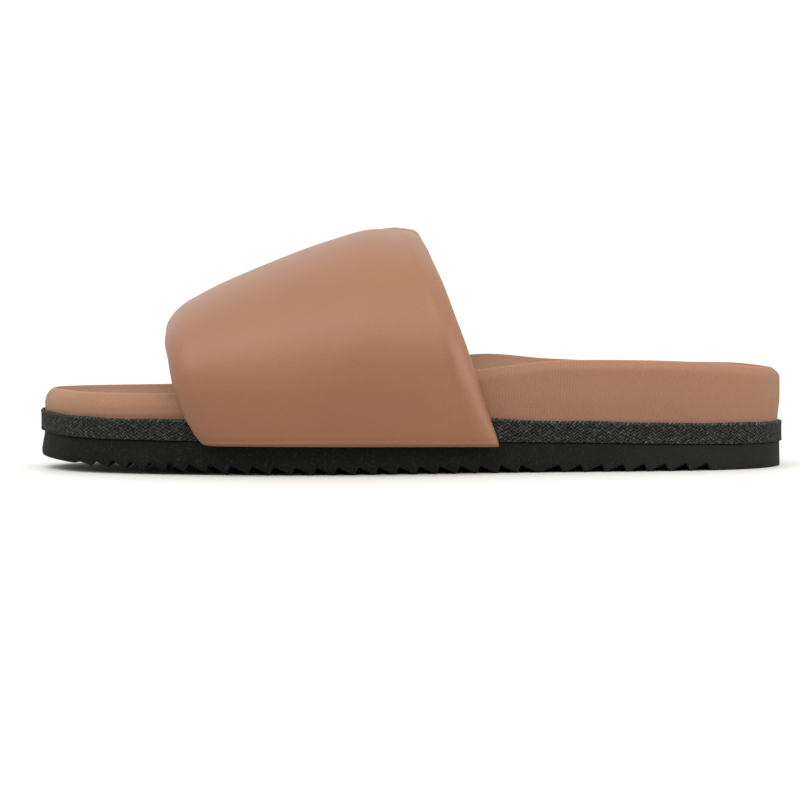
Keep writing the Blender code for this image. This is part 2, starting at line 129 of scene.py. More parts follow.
# Footbed seen from above, as shares of its length and of the ball's width, from the toe round by the big toe
OUTLINE = (
    Outline(0.000, 0.10),
    Outline(0.020, 0.25),
    Outline(0.085, 0.395),
    Outline(0.200, 0.475),
    Outline(0.320, 0.495),
    Outline(0.450, 0.435),
    Outline(0.600, 0.350),
    Outline(0.750, 0.340),
    Outline(0.880, 0.325),
    Outline(0.967, 0.205),
    Outline(1.000, 0.00),
    Outline(0.967, -0.215),
    Outline(0.880, -0.340),
    Outline(0.750, -0.385),
    Outline(0.600, -0.425),
    Outline(0.420, -0.500),
    Outline(0.280, -0.485),
    Outline(0.150, -0.405),
    Outline(0.060, -0.265),
    Outline(0.014, -0.080),
)

Seat = namedtuple("Seat", "along thickness step")
# Top of the outsole, as shares of its thickness under the ball, and its step past the footbed
SEAT = (
    Seat(0.00, 1.19, 0.10),
    Seat(0.06, 1.08, 0.45),
    Seat(0.17, 1.04, 1.00),
    Seat(0.40, 1.00, 1.00),
    Seat(0.63, 0.93, 1.00),
    Seat(0.80, 0.85, 1.00),
    Seat(0.92, 0.78, 1.00),
    Seat(1.00, 0.76, 1.00),
)

Tread = namedtuple("Tread", "along lift")
# Underside of the outsole over the floor, as shares of the toe spring
TREAD = (
    Tread(0.00, 0.90),
    Tread(0.02, 0.77),
    Tread(0.06, 0.58),
    Tread(0.10, 0.42),
    Tread(0.16, 0.28),
    Tread(0.23, 0.19),
    Tread(0.30, 0.09),
    Tread(0.37, 0.01),
    Tread(0.44, 0.00),
    Tread(1.00, 0.00),
)

Ripple = namedtuple("Ripple", "along pitch")
# Pitch of the lugs that lean to the toe, as shares of the toe row's pitch
RIPPLE = (
    Ripple(0.05, 0.78),
    Ripple(0.08, 0.84),
    Ripple(0.107, 0.89),
    Ripple(0.143, 0.94),
    Ripple(0.178, 0.98),
    Ripple(0.25, 1.03),
    Ripple(0.36, 1.06),
    Ripple(0.42, 1.00),
    Ripple(0.65, 1.00),
)

Bed = namedtuple("Bed", "along lateral medial floor run drop bulge")
# Rims and floor of the footbed as shares of its height, the rounded rim's width and height, the wall's bulge
BED = (
    Bed(0.00, 0.512, 0.512, 0.41, 0.95, 1.45, 0.0),
    Bed(0.06, 0.536, 0.546, 0.43, 1.05, 1.55, 0.2),
    Bed(0.18, 0.552, 0.562, 0.43, 1.20, 1.25, 0.7),
    Bed(0.35, 0.600, 0.630, 0.43, 1.00, 1.00, 1.0),
    Bed(0.50, 0.735, 0.820, 0.53, 1.00, 1.00, 1.0),
    Bed(0.60, 0.860, 0.965, 0.63, 1.00, 1.00, 1.0),
    Bed(0.69, 0.960, 0.920, 0.675, 1.00, 1.00, 1.0),
    Bed(0.80, 0.982, 0.900, 0.675, 1.00, 1.00, 1.0),
    Bed(0.90, 0.967, 0.915, 0.69, 0.90, 1.00, 1.0),
    Bed(0.955, 0.928, 0.918, 0.70, 0.80, 1.00, 1.0),
    Bed(1.00, 0.890, 0.890, 0.70, 0.80, 1.00, 1.0),
)

Instep = namedtuple("Instep", "along height")
# Line of the strap over the crest: shares of its width from the front edge, and of the instep's height
INSTEP = (
    Instep(0.00, 0.634),
    Instep(0.12, 0.705),
    Instep(0.24, 0.768),
    Instep(0.52, 0.887),
    Instep(0.68, 0.943),
    Instep(0.80, 0.976),
    Instep(0.90, 0.976),
    Instep(1.00, 0.963),
    Instep(1.32, 0.970),
)

Band = namedtuple("Band", "rise front rear wall")
# Strap from its foot (0) to the crest (1): how far each edge lies behind its place on the crest, as shares of
# the strap's width, and the wall as a share of its thickness; the last row mirrors the one before the crest
BAND = (
    Band(0.00, 0.175, 0.302, 0.42),
    Band(0.02, 0.162, 0.296, 0.58),
    Band(0.05, 0.142, 0.286, 0.66),
    Band(0.13, 0.103, 0.256, 0.80),
    Band(0.22, 0.073, 0.225, 0.92),
    Band(0.33, 0.044, 0.184, 1.00),
    Band(0.46, 0.023, 0.126, 1.00),
    Band(0.66, 0.015, 0.061, 1.00),
    Band(0.83, 0.006, 0.032, 1.00),
    Band(0.94, 0.001, 0.0105, 1.00),
    Band(1.00, 0.000, 0.006, 1.00),
    Band(1.06, 0.001, 0.0105, 1.00),
)


def size(name, default, text):
    """A length that a user may change."""
    return FloatProperty(name=name, description=text, default=default, unit="LENGTH", precision=4)


def tint(name, default, text):
    """A colour that a user may change."""
    return FloatVectorProperty(name=name, description=text, default=default, subtype="COLOR", size=3, min=0, max=1)


class SandalSizes(bpy.types.PropertyGroup):
    """Lengths of the sandal."""
    length: size("Length", 0.280, "Toe to heel, over the tape")
    ball_width: size("Ball width", 0.106, "Footbed across the ball")
    outsole_thickness: size("Outsole", 0.0118, "Outsole under the ball")
    outsole_step: size("Outsole step", 0.0007, "Outsole past the footbed's wall")
    outsole_flare: size("Outsole flare", 0.0001, "Extra step at the outsole's foot")
    outsole_round: size("Outsole edge", 0.0008, "Radius of the outsole's lower edge")
    toe_round: size("Toe edge", 0.0013, "Radius of the outsole's lower edge at the tip of the toe")
    toe_under: size("Toe side edge", 0.0019, "Radius of the outsole's lower edge beside the toe")
    toe_push: size("Toe step", 0.0005, "Extra step of the outsole's foot at the toe")
    toe_spring: size("Toe spring", 0.0054, "Lift of the outsole at the toe")
    clearance: size("Clearance", 0.0003, "Gap between pieces that touch")
    lug_turn: size("Lug turn", 0.1865, "From the toe to the pointed lug")
    lug_turn_ahead: size("Before the pointed lug", 0.0062, "From the pointed lug's tip to the notch before it")
    lug_turn_behind: size("Behind the pointed lug", 0.0077, "From the pointed lug's tip to the notch after it")
    toe_row_pitch: size("Toe row pitch", 0.00745, "Pitch of the lugs that lean to the toe")
    heel_row_pitch: size("Heel row pitch", 0.00781, "Pitch of the lugs that lean to the heel")
    toe_block: size("Toe block", 0.013, "Smooth stretch at the toe")
    heel_block: size("Heel block", 0.030, "Smooth stretch at the heel")
    lug_depth: size("Lug depth", 0.0027, "Depth of the notches")
    lug_steep: size("Lug face", 0.0013, "Run of a lug's steep face")
    lug_land: size("Lug land", 0.0007, "Flat on a lug's tip")
    footbed_height: size("Footbed", 0.031, "Footbed's wall at the heel")
    footbed_bulge: size("Footbed bulge", 0.0008, "Soft wall above the tape")
    edge_run: size("Rim width", 0.0040, "Width of the rounded rim")
    edge_drop: size("Rim height", 0.0038, "Height of the rounded rim")
    rim_hollow: size("Rim hollow", 0.0012, "Depth of the soft hollow just inside the rim")
    rim_ridge: size("Rim ridge", 0.00035, "Height of the fine ridge on the rim")
    tape_height: size("Tape height", 0.0079, "Height of the woven tape")
    tape_thickness: size("Tape thickness", 0.0012, "Thickness of the woven tape")
    strap_reach: size("Strap reach", 0.048, "From the toe to the strap's front edge on the instep")
    strap_width: size("Strap width", 0.0955, "Strap along the instep's crest")
    strap_thickness: size("Strap thickness", 0.012, "Padded wall of the strap")
    strap_roll: size("Strap roll", 0.009, "Run of the strap's rolled edges")
    strap_hang: size("Strap hang", 0.0012, "Strap below the footbed's seat")
    strap_off_tape: size("Strap gap", 0.0004, "Strap clear of the tape")
    instep_height: size("Instep", 0.0915, "Floor to the top of the strap")
    crest_shift: size("Crest shift", 0.006, "Instep's crest towards the big toe's side")
    rim_free: size("Straight side", 0.0015, "Strap's straight side above the rim")
    foot_round: size("Strap foot", 0.0020, "Radius of the strap's front lower corner")
    lip_height: size("Rear lip", 0.0017, "Raised rear edge past the crest")
    lip_length: size("Rear lip length", 0.0185, "Raised rear edge along the crest")
    edge_ridge: size("Edge ridge", 0.00022, "Soft ridge along the rear edge")
    hug: size("Hug", 0.0008, "Padding that swells towards the footbed's wall")


class SandalColours(bpy.types.PropertyGroup):
    """Colours of the sandal and its stage."""
    strap: tint("Strap", (0.178, 0.069, 0.0265), "Smooth leather of the strap")
    footbed: tint("Footbed", (0.203, 0.102, 0.061), "Cover of the footbed")
    tape: tint("Tape", (0.0120, 0.0122, 0.0120), "Woven tape")
    sole: tint("Sole", (0.0047, 0.0047, 0.0046), "Rubber of the outsole")
    floor: tint("Floor", (0.58, 0.58, 0.58), "Studio floor")


def sizes():
    return bpy.context.scene.sandal_sizes


def colours():
    return bpy.context.scene.sandal_colours


def hermite(here, after, leave, arrive, t):
    """Smooth way from one value to the next with the slopes given."""
    return (here * (2 * t**3 - 3 * t**2 + 1) + after * (3 * t**2 - 2 * t**3)
            + (leave * (t**3 - 2 * t**2 + t) + arrive * (t**3 - t**2)))


def read(table, column, at):
    """Smooth values of a table's column at places in its first column."""
    places = np.array([row[0] for row in table])
    values = np.array([getattr(row, column) for row in table])
    padded = np.concatenate([values[:1], values, values[-1:]])
    spread = np.concatenate([places[:1], places, places[-1:]])
    slopes = (padded[2:] - padded[:-2]) / (spread[2:] - spread[:-2])
    at = np.clip(at, places[0], places[-1])
    k = np.clip(np.searchsorted(places, at, side="right") - 1, 0, len(table) - 2)
    span = places[k + 1] - places[k]
    return hermite(values[k], values[k + 1], slopes[k] * span, slopes[k + 1] * span, (at - places[k]) / span)


def ease(t):
    """Soft step from 0 to 1."""
    t = np.clip(t, 0, 1)
    return t * t * (3 - 2 * t)


def bell(away, reach):
    """Soft bump: 1 in its middle, about a third at its reach."""
    return np.exp(-(away / reach)**2)


def within(at, window):
    """1 inside a soft window, 0 outside it."""
    return float(ease((at - window.start) / window.start_run) * (1 - ease((at - window.end) / window.end_run)))


def tip_lift(part):
    """Rise of a round edge, from 1 at its end to 0 after its radius."""
    return 1 - np.sqrt(1 - np.clip(1 - part, 0, 1)**2)


def run_along(points):
    """Length so far at each point of a line."""
    return np.concatenate([[0], np.cumsum(np.linalg.norm(np.diff(points, axis=0), axis=1))])


def unit_normals(along):
    """Unit vectors square to the flat ones given."""
    normals = np.stack([-along[:, 1], along[:, 0]], 1)
    return normals / np.linalg.norm(normals, axis=1)[:, None]


class Last:
    """Outline of the footbed and the heights that the pieces share."""
    STEPS = 60
    SPINE_REACH = 0.78  # middle line that flat rings close on, as a share of each point's place along the shoe

    def __init__(self):
        s = sizes()
        self.proud = s.tape_thickness + s.clearance
        self.length = s.length - 2 * self.proud
        self.toe = -self.length / 2
        nodes = np.array([(self.toe + row.along * self.length, row.across * s.ball_width) for row in OUTLINE])
        line = self.closed(nodes)
        heel = self.STEPS * max(range(len(OUTLINE)), key=lambda i: OUTLINE[i].along)
        self.halves = {MEDIAL: line[:heel + 1], LATERAL: np.vstack([line[:1], line[:heel - 1:-1]])}

    def closed(self, nodes):
        """Smooth closed line through the nodes."""
        t = (np.arange(self.STEPS) / self.STEPS)[:, None]
        before, after, beyond = np.roll(nodes, 1, 0), np.roll(nodes, -1, 0), np.roll(nodes, -2, 0)
        parts = []
        for prior, here, nearby, far in zip(before, nodes, after, beyond):
            reach = np.linalg.norm(nearby - here)
            leave = (nearby - prior) * reach / (reach + np.linalg.norm(here - prior))
            arrive = (far - here) * reach / (reach + np.linalg.norm(far - nearby))
            parts.append(hermite(here, nearby, leave, arrive, t))
        return np.vstack(parts)

    def ring(self, half_count):
        """Evenly spaced points round the outline, their outward normals and the length run so far."""
        points = []
        for side in (MEDIAL, LATERAL):
            half = self.halves[side]
            run = run_along(half)
            goals = np.linspace(0, run[-1], half_count + 1)
            points.append(np.stack([np.interp(goals, run, half[:, a]) for a in (0, 1)], 1))
        ring = np.vstack([points[0], points[1][-2:0:-1]])
        normals = unit_normals(np.roll(ring, -1, 0) - np.roll(ring, 1, 0))
        return ring, normals, run_along(np.vstack([ring, ring[:1]]))

    def edge(self, side, grow):
        """One side of the outline moved outwards, from toe to heel, by one step or by one for each point."""
        half = self.halves[side]
        normals = unit_normals(np.gradient(half, axis=0)) * side
        normals[0], normals[-1] = (-1, 0), (1, 0)
        return half + normals * np.broadcast_to(grow, len(half))[:, None]

    def sole_step(self, side):
        """How far the outsole's top stands past each point of one side."""
        return sizes().outsole_step * read(SEAT, "step", self.share(self.halves[side][:, 0]))

    def across(self, side, x, grow):
        """Place across the shoe of a side line."""
        line = self.edge(side, grow)
        return np.interp(x, line[:, 0], line[:, 1])

    def share(self, x):
        """Place along the footbed, from 0 at the toe to 1 at the heel."""
        return np.clip((x - self.toe) / self.length, 0, 1)

    def seat(self, x):
        """Height of the outsole's top."""
        return sizes().outsole_thickness * read(SEAT, "thickness", self.share(x))

    def ground(self, x):
        """Height of the outsole's underside, without its notches."""
        return sizes().toe_spring * np.maximum(0, read(TREAD, "lift", self.share(x)))

    def rim(self, x, side):
        """Height of the footbed's rim on one side."""
        s = sizes()
        name = "medial" if side == MEDIAL else "lateral"
        return self.seat(x) + s.clearance + s.footbed_height * read(BED, name, self.share(x))

    def inward(self, ring, part):
        """The flat ring drawn in towards the footbed's middle line."""
        spine = (ring + np.roll(ring[::-1], 1, 0)) / 2 * (self.SPINE_REACH, 1.0)
        return spine + (ring - spine) * part


def mesh_from_grid(name, grid, uv=None, capped=False):
    """Mesh of closed rings. uv has one more point across than a ring; caps join both halves of the end rings."""
    rings, count = grid.shape[:2]
    ids = np.arange(rings * count).reshape(rings, count)
    after = np.roll(ids, -1, 1)
    faces = np.stack([ids[:-1], after[:-1], after[1:], ids[1:]], -1).reshape(-1, 4).tolist()
    if capped:
        for row in (ids[0], ids[-1]):
            for k in range(count // 2):
                faces.append(list(dict.fromkeys((row[k], row[k + 1], row[-k - 1], row[-k % count]))))
    mesh = bpy.data.meshes.new(name)
    mesh.from_pydata(grid.reshape(-1, 3).tolist(), [], [[int(v) for v in face] for face in faces])
    if uv is not None:
        corners = np.stack([uv[:-1, :-1], uv[:-1, 1:], uv[1:, 1:], uv[1:, :-1]], 2).reshape(-1, 2)
        layer = mesh.uv_layers.new(name="run")
        flat = np.zeros((len(mesh.loops), 2))
        flat[:len(corners)] = corners
        layer.data.foreach_set("uv", flat.ravel())
    mesh.validate()
    piece = bpy.data.objects.new(name, mesh)
    bpy.context.scene.collection.objects.link(piece)
    return piece


def turn_outwards(piece):
    """Makes the faces of a closed piece point outwards."""
    mesh = piece.data
    corners = np.empty(len(mesh.vertices) * 3)
    mesh.vertices.foreach_get("co", corners)
    corners = corners.reshape(-1, 3)
    mesh.calc_loop_triangles()
    triangles = np.empty(len(mesh.loop_triangles) * 3, dtype=int)
    mesh.loop_triangles.foreach_get("vertices", triangles)
    a, b, c = (corners[triangles.reshape(-1, 3)[:, k]] for k in range(3))
    if np.einsum("ij,ij->", a, np.cross(b, c)) < 0:
        mesh.flip_normals()


def settle(piece, node, material, sharp=None):
    """Shades a piece, gives it its material and ties it to the frame."""
    turn_outwards(piece)
    piece.data.shade_smooth()
    if sharp:
        piece.data.set_sharp_from_angle(angle=math.radians(sharp))
    piece.data.materials.append(material)
    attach(piece, "root")
    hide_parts(node)
    return piece


class Value:
    """A shader socket that does arithmetic."""

    def __init__(self, graph, socket):
        self.graph = graph
        self.socket = socket

    def math(self, operation, *others):
        return self.graph.node("ShaderNodeMath", {"operation": operation}, 0, dict(enumerate((self, *others))))

    def __add__(self, other):
        return self.math("ADD", other)

    __radd__ = __add__

    def __mul__(self, other):
        return self.math("MULTIPLY", other)

    def __sub__(self, other):
        return self.math("SUBTRACT", other)

    def __rsub__(self, other):
        return self.graph.node("ShaderNodeMath", {"operation": "SUBTRACT"}, 0, {0: other, 1: self})

    def __truediv__(self, other):
        return self.math("DIVIDE", other)

    def wave(self, length):
        """Sine with a period in metres."""
        return (self * (2 * math.pi / length)).math("SINE")

    def zigzag(self, length):
        """Triangle wave of slope 1 with a period in metres."""
        return ((self / length).math("FRACT") - 0.5).math("ABSOLUTE") * length

    def clamped(self):
        """Held between 0 and 1."""
        return self.graph.node("ShaderNodeClamp", {}, 0, {"Value": self})

    def ramp(self, low, high):
        """Soft step between two values."""
        return self.graph.node("ShaderNodeMapRange", {"interpolation_type": "SMOOTHSTEP"}, 0,
                               {"Value": self, "From Min": low, "From Max": high})


class Graph:
    """The nodes of a material or of the world."""

    def __init__(self, tree):
        self.tree = tree

    def node(self, kind, settings, out, sockets):
        """A node with its settings and sockets; gives the value of one of its outputs."""
        made = self.tree.nodes.new(kind)
        for name, setting in settings.items():
            setattr(made, name, setting)
        for name, source in sockets.items():
            self.feed(made.inputs[name], source)
        return Value(self, made.outputs[out])

    def feed(self, socket, source):
        """Links a value to a socket, or sets it."""
        if isinstance(source, Value):
            self.tree.links.new(source.socket, socket)
        else:
            socket.default_value = source

    def coordinates(self, name="Object"):
        return self.node("ShaderNodeTexCoord", {}, name, {})

    def parts(self, vector):
        """X, Y and Z of a vector."""
        split = self.node("ShaderNodeSeparateXYZ", {}, 0, {"Vector": vector})
        return [Value(self, output) for output in split.socket.node.outputs]

    def noise(self, scale, detail):
        """Clouds, scale of them to the metre."""
        return self.node("ShaderNodeTexNoise", {}, 0, {
            "Vector": self.coordinates(), "Scale": scale, "Detail": detail, "Roughness": 0.5})

    def cells(self, scale):
        """Cells, scale of them to the metre: the distance from their edges."""
        return self.node("ShaderNodeTexVoronoi", {"feature": "DISTANCE_TO_EDGE"}, "Distance",
                         {"Vector": self.coordinates(), "Scale": scale})

    def toned(self, factor, colour, by):
        """The colour made lighter or darker where the factor is high."""
        return self.node("ShaderNodeMix", {"data_type": "RGBA", "blend_type": "MULTIPLY"}, 2,
                         {0: factor, 6: colour, 7: (by, by, by, 1.0)})

    def blend(self, factor, first, second):
        """Two colours mixed."""
        first, second = ((*c, 1.0) if isinstance(c, tuple) else c for c in (first, second))
        return self.node("ShaderNodeMix", {"data_type": "RGBA"}, 2, {0: factor, 6: first, 7: second})


class Finish(Graph):
    """A procedural material."""

    def __init__(self, name, **constants):
        self.material = bpy.data.materials.new(name)
        self.material.use_nodes = True
        super().__init__(self.material.node_tree)
        self.shader = self.tree.nodes["Principled BSDF"]
        self.dress(**constants)

    def bump(self, height, distance, strength):
        """Relief from a height, on top of the relief so far."""
        sockets = {"Height": height, "Distance": distance, "Strength": strength}
        normal = self.shader.inputs["Normal"]
        if normal.is_linked:
            sockets["Normal"] = Value(self, normal.links[0].from_socket)
        self.feed(normal, self.node("ShaderNodeBump", {}, 0, sockets))

    def dress(self, **sockets):
        """Sets or feeds the shader's sockets and gives the material."""
        for name, source in sockets.items():
            self.feed(self.shader.inputs[name.replace("_", " ")], source)
        return self.material


def shade(colour, by):
    """The colour made lighter or darker."""
    return tuple(min(1.0, part * by) for part in colour)


def leather_finish():
    """Smooth satin leather with a fine grain."""
    f = Finish("strap_leather", Specular_IOR_Level=0.5, Coat_Roughness=0.3)
    tone = tuple(colours().strap)
    cloud = f.noise(26, detail=3)
    pores = f.noise(1300, detail=2)
    specks = f.noise(420, detail=1).ramp(0.79, 0.82)
    base = f.blend(cloud.ramp(0.3, 0.7), shade(tone, 0.96), shade(tone, 1.04))
    base = f.blend(pores.ramp(0.55, 0.75) * 0.5, base, shade(tone, 0.86))
    base = f.blend(specks * 0.5, base, shade(tone, 0.5))
    f.bump(f.noise(70, detail=2), distance=0.0006, strength=0.3)
    f.bump(f.cells(1250).ramp(0.0, 0.3), distance=0.00006, strength=0.5)
    f.bump(f.noise(2600, detail=2), distance=0.00003, strength=0.5)
    return f.dress(Base_Color=base, Roughness=0.42 + cloud * 0.1, Coat_Weight=0.02 + cloud * 0.04)


def footbed_finish():
    """Matt fine-ribbed cover, with painted light making the toe paler, painted shade in the hollow inside the rim
    and a painted highlight on the rim's ridge.
    """
    f = Finish("footbed_cover", Specular_IOR_Level=0.22)
    tone = tuple(colours().footbed)
    x, y, _ = f.parts(f.coordinates("UV"))
    drift = f.noise(34, detail=2) * 0.004
    rib = (x + drift).wave(0.00105)
    weave = (x + y * 0.12).wave(0.00062) * (y + drift * 0.3).wave(0.00055)
    cloud = f.noise(30, detail=3)
    fleck = f.noise(1500, detail=2)
    place, _, _ = f.parts(f.coordinates())
    # Painted light: the cover paler and less red at the toe, as where the lamp by the toe falls on it.
    painted_toe_light = (tone[0] * 1.14, tone[1] * 1.36, tone[2] * 1.38)
    base = f.blend(cloud.ramp(0.3, 0.7), shade(tone, 0.95), shade(tone, 1.05))
    base = f.blend((0.0 - place).ramp(0.085, 0.138), base, painted_toe_light)
    base = f.blend((rib * 0.5 + 0.5) * cloud.ramp(0.3, 0.6), base, shade(tone, 0.84))
    base = f.blend((weave * 0.5 + 0.5) * 0.6, base, shade(tone, 1.25))
    base = f.blend(fleck.ramp(0.55, 0.75) * 0.35, base, shade(tone, 1.4))
    base = f.blend((1 - fleck.ramp(0.25, 0.45)) * 0.35, base, shade(tone, 0.66))
    fold = f.node("ShaderNodeAttribute", {"attribute_name": "fold"}, "Fac", {})
    # Painted shade: the cover darker in the hollow just inside the rim's crest, weaker towards the heel.
    hollow = fold.ramp(0.0003, 0.0022) * (1 - place.ramp(-0.01, 0.03) * 0.75)
    # Painted highlight: the cover lighter along the rim's crest.
    ridge = 1 - (fold + 0.0002).math("ABSOLUTE").ramp(0.0003, 0.0011)
    base = f.toned(ridge, f.toned(hollow, base, 0.84), 1.22)
    f.bump(rib, distance=0.00006, strength=0.35)
    f.bump(weave, distance=0.00006, strength=0.6)
    f.bump(fleck, distance=0.00006, strength=0.5)
    return f.dress(Base_Color=base, Roughness=0.72 + cloud * 0.12)


def tape_finish():
    """Dark tape woven in small zigzag rows, with a braided border along its top; its colour has painted shade in the
    weave's grooves and painted highlights on its raised threads.
    """
    f = Finish("woven_tape", Specular_IOR_Level=0.12)
    tone = tuple(colours().tape)
    along, high, _ = f.parts(f.coordinates("UV"))
    sway = f.noise(150, detail=2) * 0.0016
    zig = along.zigzag(ROW_PITCH * 1.9) + sway
    twill = (high + zig).wave(ROW_PITCH)
    dash = (high - zig + along * 0.5).wave(ROW_PITCH * 1.6)
    half_height = sizes().tape_height / 2
    border = (high - half_height).ramp(half_height - BORDER_START, half_height - BORDER_FULL)
    braid = (along + high * 0.9 + sway).wave(BRAID_PITCH) * 0.6 + 0.5
    height = twill * (dash * 0.5 + 0.75) * (1 - border) + braid * border
    yarn = f.noise(900, detail=2)
    # Colour partly from the yarn's own mottling and partly painted light: painted shade in the weave's grooves,
    # painted highlights on its raised threads.
    light = (height * 0.45 + yarn * 1.6 - 0.45).clamped()
    base = f.blend(light, shade(tone, 0.15), shade(tone, 3.4))
    # Painted glints on the brightest raised threads, partly the yarn's own pale flecks.
    base = f.blend(light.ramp(0.62, 1.0) * yarn.ramp(0.45, 0.65), base, shade(tone, 6.5))
    f.bump(height, distance=0.00024, strength=1.0)
    f.bump(f.noise(3000, detail=2), distance=0.00008, strength=0.6)
    return f.dress(Base_Color=base, Roughness=0.88 - border * 0.08)


def rubber_finish():
    """Matt black rubber with a faint pebble, with painted light making it paler towards the heel."""
    f = Finish("sole_rubber", Specular_IOR_Level=0.06)
    tone = tuple(colours().sole)
    cloud = f.noise(60, detail=4)
    dust = f.noise(1100, detail=3)
    specks = f.noise(700, detail=2).ramp(0.72, 0.78)
    base = f.blend(cloud.ramp(0.35, 0.75), tone, shade(tone, 1.35))
    place, _, _ = f.parts(f.coordinates())
    # Painted light: the rubber nearly twice as light towards the heel, where the lamp by the heel falls.
    base = f.toned(place.ramp(0.02, 0.11), base, 1.9)
    base = f.blend(dust.ramp(0.48, 0.75) * 0.8, base, shade(tone, 3.2))
    base = f.blend(specks * 0.5, base, shade(tone, 6.0))
    f.bump(f.cells(1000), distance=0.00006, strength=0.6)
    f.bump(f.noise(420, detail=3), distance=0.00014, strength=0.55)
    return f.dress(Base_Color=base, Roughness=0.62 + cloud * 0.2)


def floor_finish():
    """White studio floor."""
    f = Finish("studio_floor", Specular_IOR_Level=0.3)
    tone = tuple(colours().floor)
    grain = f.noise(8, detail=2)
    return f.dress(Base_Color=f.blend(grain, shade(tone, 0.99), tone), Roughness=0.5 + grain * 0.1)


class Lugs:
    """Profile of the outsole's underside: a row of lugs that leans to the toe and one that leans to the heel."""
    FILLET = 0.0003
    HEEL_SOFT = 1.6  # fillets that a corner's round takes at the heel
    TOE_SOFT = 4.5  # fillets that it takes more at the toe
    SOFT_SHARE = 0.35  # share of the length over which that fades
    LONGEST_ROUND = 0.45  # of the way to the next corner
    LEAD = 0.004  # flat before the first corner and after the last one
    FIRST_DEPTH = 0.08  # share of the depth at the toe block
    FULL_AFTER = 2.5  # pitches from the toe block to the full depth
    SPLIT_GAP = 0.002  # faces of a lug longer than this get two more places

    def __init__(self, last):
        s = sizes()
        self.last = last
        start = -s.length / 2
        turn = start + s.lug_turn
        self.notches = []
        x = turn - s.lug_turn_ahead
        behind = s.lug_turn_ahead - s.lug_land / 2
        while x > start + s.toe_block:
            grown = (x - start - s.toe_block) / (self.FULL_AFTER * s.toe_row_pitch)
            self.notches.append((x, s.lug_steep, behind, s.lug_depth * min(1.0, self.FIRST_DEPTH + grown)))
            pitch = s.toe_row_pitch * float(read(RIPPLE, "pitch", last.share(x)))
            x -= pitch
            behind = pitch - s.lug_steep - s.lug_land
        x = turn + s.lug_turn_behind
        ahead = s.lug_turn_behind - s.lug_land / 2
        while x < -start - s.heel_block:
            self.notches.append((x, ahead, s.lug_steep, s.lug_depth))
            x += s.heel_row_pitch
            ahead = s.heel_row_pitch - s.lug_steep - s.lug_land
        self.notches.sort()

    def line(self):
        """Corners of the underside from toe to heel."""
        corners = []
        for x, ahead, behind, depth in self.notches:
            corners += [(x - ahead, 0.0), (x, depth), (x + behind, 0.0)]
        return corners

    def stations(self):
        """Places along the shoe and the notch's depth at each, with small rounds at the corners."""
        corners = self.line()
        places = []
        for k, (x, depth) in enumerate(corners):
            before = corners[k - 1] if k else (x - self.LEAD, 0.0)
            after = corners[k + 1] if k + 1 < len(corners) else (x + self.LEAD, 0.0)
            toewards = 1 - float(ease(self.last.share(x) / self.SOFT_SHARE))
            soft = self.FILLET * (self.HEEL_SOFT + self.TOE_SOFT * toewards)
            reach = [min(soft, self.LONGEST_ROUND * math.dist((x, depth), other)) for other in (before, after)]
            start = self.towards((x, depth), before, reach[0])
            end = self.towards((x, depth), after, reach[1])
            for t in (0.0, 0.25, 0.5, 0.75, 1.0):
                places.append(tuple(start[a] * (1 - t)**2 + (x, depth)[a] * 2 * t * (1 - t) + end[a] * t**2
                                    for a in (0, 1)))
            if k + 1 < len(corners) and after[0] - x > self.SPLIT_GAP:
                for t in (0.35, 0.65):
                    places.append(tuple((x, depth)[a] * (1 - t) + after[a] * t for a in (0, 1)))
        return places

    @staticmethod
    def towards(here, other, reach):
        span = math.dist(here, other)
        return tuple(h + (o - h) * reach / span for h, o in zip(here, other))


